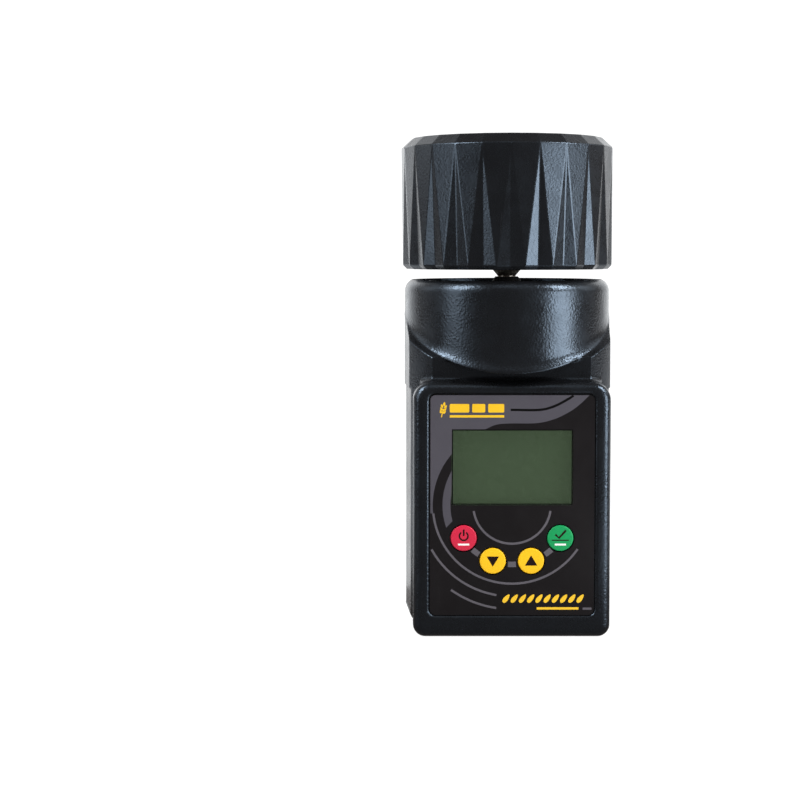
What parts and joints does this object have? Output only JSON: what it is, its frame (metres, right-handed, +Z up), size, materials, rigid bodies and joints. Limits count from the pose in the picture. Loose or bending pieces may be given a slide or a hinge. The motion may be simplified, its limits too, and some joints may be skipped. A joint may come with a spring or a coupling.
{
  "type": "grain moisture meter",
  "caption": "Hand-held grain moisture meter: upright housing with a display and round keys, a round measuring cell on top, and a fluted screw cap that presses the sample.",
  "frame": {"origin": "middle of the flat base, on the axis of the measuring cell", "axes": "+Z up along the cell's axis, -Y is the front with the display and keys, +X is the keys' right"},
  "size_m": [0.075, 0.075, 0.1711],
  "materials": {
    "black_plastic": "fine leather-grained black moulding",
    "knob_plastic": "fine-textured black moulding with bright flute faces",
    "overlay_print": "matt printed polyester overlay",
    "window": "clear window over a green-grey display",
    "lcd_glass": "green-grey liquid crystal glass",
    "moulding": "black moulded nylon",
    "red_key": "satin red",
    "yellow_key": "satin yellow",
    "green_key": "satin green",
    "board": "green solder mask",
    "components": "black component bodies",
    "battery_case": "printed battery jacket",
    "steel": "bright zinc or turned steel",
    "spindle_steel": "turned nickel-plated steel, warm grey",
    "spring_steel": "dark spring steel",
    "ground_steel": "ground ridged steel",
    "aluminium": "fine-turned aluminium",
    "brass": "turned brass",
    "rubber": "red-brown silicone",
    "black_rubber": "black rubber",
    "insulator": "off-white insulating moulding",
    "red_wire": "red insulation",
    "black_wire": "black insulation",
    "white_wire": "white insulation",
    "blue_wire": "blue insulation"
  },
  "bodies": {
    "housing": {"front_shell": "black_plastic", "rear_shell": "black_plastic", "keypad_overlay": "overlay_print", "display_window": "window", "lcd_frame": "moulding", "lcd_glass": "lcd_glass", "key_switches": "components", "main_board": "board", "board_parts": "components", "board_screws": "steel", "battery": "battery_case", "battery_clip": "moulding", "battery_lead_red": "red_wire", "battery_lead_black": "black_wire", "door_hinge_pin": "steel", "housing_screws": "steel", "cell_base": "insulator", "cell_gasket": "rubber", "cell_cup": "aluminium", "anvil_disc": "ground_steel", "cell_screws": "steel", "spindle_bush": "brass", "bush_washer": "steel", "bush_nut": "brass", "temperature_probe": "steel", "probe_lead": "white_wire", "cell_lead": "blue_wire"},
    "battery_door": {"battery_door": "black_plastic"},
    "esc_key": {"key_esc": "red_key"},
    "down_key": {"key_down": "yellow_key"},
    "up_key": {"key_up": "yellow_key"},
    "ok_key": {"key_ok": "green_key"},
    "plate": {"pressure_plate": "ground_steel", "plate_bush": "brass"},
    "cap": {"cap_knob": "knob_plastic", "cap_top_disc": "knob_plastic", "cap_base_plate": "moulding", "cap_screws": "steel", "spindle": "spindle_steel", "spindle_pin": "steel", "spindle_boot": "black_rubber", "thrust_washer": "steel", "plate_circlip": "spring_steel"}
  },
  "joints": [
    {"name": "cap_turn", "type": "hinge", "parent": "plate", "child": "cap", "pos_m": [0, 0, 0.1218], "axis": [0, 0, 1], "range_deg": [-250, 1070]},
    {"name": "cap_travel", "type": "slide", "parent": "housing", "child": "plate", "axis": [0, 0, 1], "range_m": [-0.0028, 0.012]},
    {"name": "battery_door_hinge", "type": "hinge", "parent": "housing", "child": "battery_door", "pos_m": [0, 0.0314, 0.0094], "axis": [-1, 0, 0], "range_deg": [0, 90]},
    {"name": "esc_key_press", "type": "slide", "parent": "housing", "child": "esc_key", "axis": [0, 1, 0], "range_m": [0, 0.0005], "stiffness_N_per_m": 1500},
    {"name": "down_key_press", "type": "slide", "parent": "housing", "child": "down_key", "axis": [0, 1, 0], "range_m": [0, 0.0005], "stiffness_N_per_m": 1500},
    {"name": "up_key_press", "type": "slide", "parent": "housing", "child": "up_key", "axis": [0, 1, 0], "range_m": [0, 0.0005], "stiffness_N_per_m": 1500},
    {"name": "ok_key_press", "type": "slide", "parent": "housing", "child": "ok_key", "axis": [0, 1, 0], "range_m": [0, 0.0005], "stiffness_N_per_m": 1500}
  ],
  "couplings": [
    {"joint": "cap_travel", "follows": "cap_turn", "m_per_rad": 0.00063662}
  ]
}
